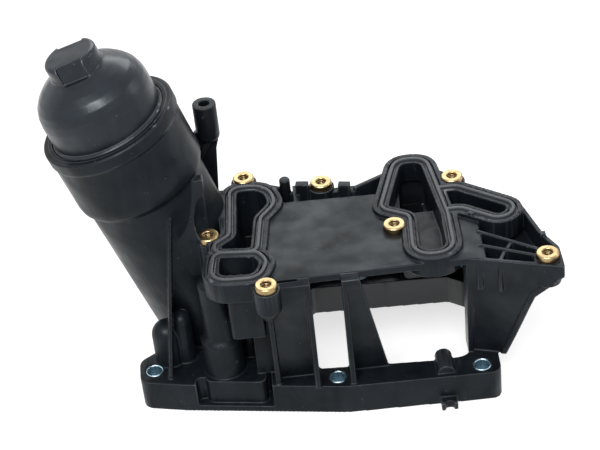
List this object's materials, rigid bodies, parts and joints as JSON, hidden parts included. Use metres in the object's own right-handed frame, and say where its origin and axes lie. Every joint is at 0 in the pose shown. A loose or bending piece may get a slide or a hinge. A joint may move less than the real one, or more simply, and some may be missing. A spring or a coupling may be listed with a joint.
{
  "type": "oil filter housing",
  "caption": "Moulded engine oil filter housing: base frame, cooler deck with two port gaskets, leaning filter bowl with screw cap, brass inserts and bolt sleeves.",
  "frame": {"origin": "centre of the front middle bolt sleeve at the engine face", "axes": "+Z out of the engine face towards the cooler deck, +X along the base from the bowl to the corner boss, +Y to the rear"},
  "size_m": [0.2796, 0.1314, 0.2151],
  "materials": {
    "moulding": "satin glass-filled nylon",
    "cap": "satin nylon",
    "rubber": "matte",
    "paper": "pleated filter paper",
    "disc": "satin",
    "steel": "bright",
    "brass": "turned",
    "zinc": "blue passivated zinc"
  },
  "bodies": {
    "housing": {"housing": "moulding", "support_tube": "moulding", "oil_gasket": "rubber", "coolant_gasket": "rubber", "bypass_spring": "steel", "bypass_plug": "moulding", "return_seat": "steel", "return_spring": "steel", "port_seal_1": "rubber", "port_seal_2": "rubber", "port_seal_3": "rubber", "brass_insert_1": "brass", "brass_insert_2": "brass", "brass_insert_3": "brass", "brass_insert_4": "brass", "brass_insert_5": "brass", "brass_insert_6": "brass", "brass_insert_7": "brass", "bolt_sleeve_1": "zinc", "bolt_sleeve_2": "zinc", "bolt_sleeve_3": "zinc", "bolt_sleeve_4": "zinc", "bolt_sleeve_5": "zinc"},
    "element": {"filter_paper": "paper", "filter_top_disc": "disc", "filter_foot_disc": "disc"},
    "cap": {"filter_cap": "cap", "cap_seal_ring": "rubber"},
    "bypass_valve": {"bypass_piston": "steel"},
    "return_valve": {"return_piston": "steel"}
  },
  "joints": [
    {"name": "cap_lift", "type": "slide", "parent": "housing", "child": "element", "axis": [-0.3024, 0, 0.9532], "range_m": [0, 0.015]},
    {"name": "cap_turn", "type": "hinge", "parent": "element", "child": "cap", "pos_m": [-0.0668, 0.0728, 0.02], "axis": [-0.3024, 0, 0.9532], "range_deg": [0, 900]},
    {"name": "bypass_slide", "type": "slide", "parent": "housing", "child": "bypass_valve", "axis": [0, 0, -1], "range_m": [0, 0.004], "stiffness_N_per_m": 1500, "springref_m": -0.005, "deforming": ["bypass_spring"]},
    {"name": "return_slide", "type": "slide", "parent": "housing", "child": "return_valve", "axis": [0, 0, 1], "range_m": [0, 0.005], "stiffness_N_per_m": 400, "springref_m": -0.004, "deforming": ["return_spring"]}
  ],
  "couplings": [
    {"joint": "cap_lift", "follows": "cap_turn", "m_per_rad": 0.000954}
  ]
}
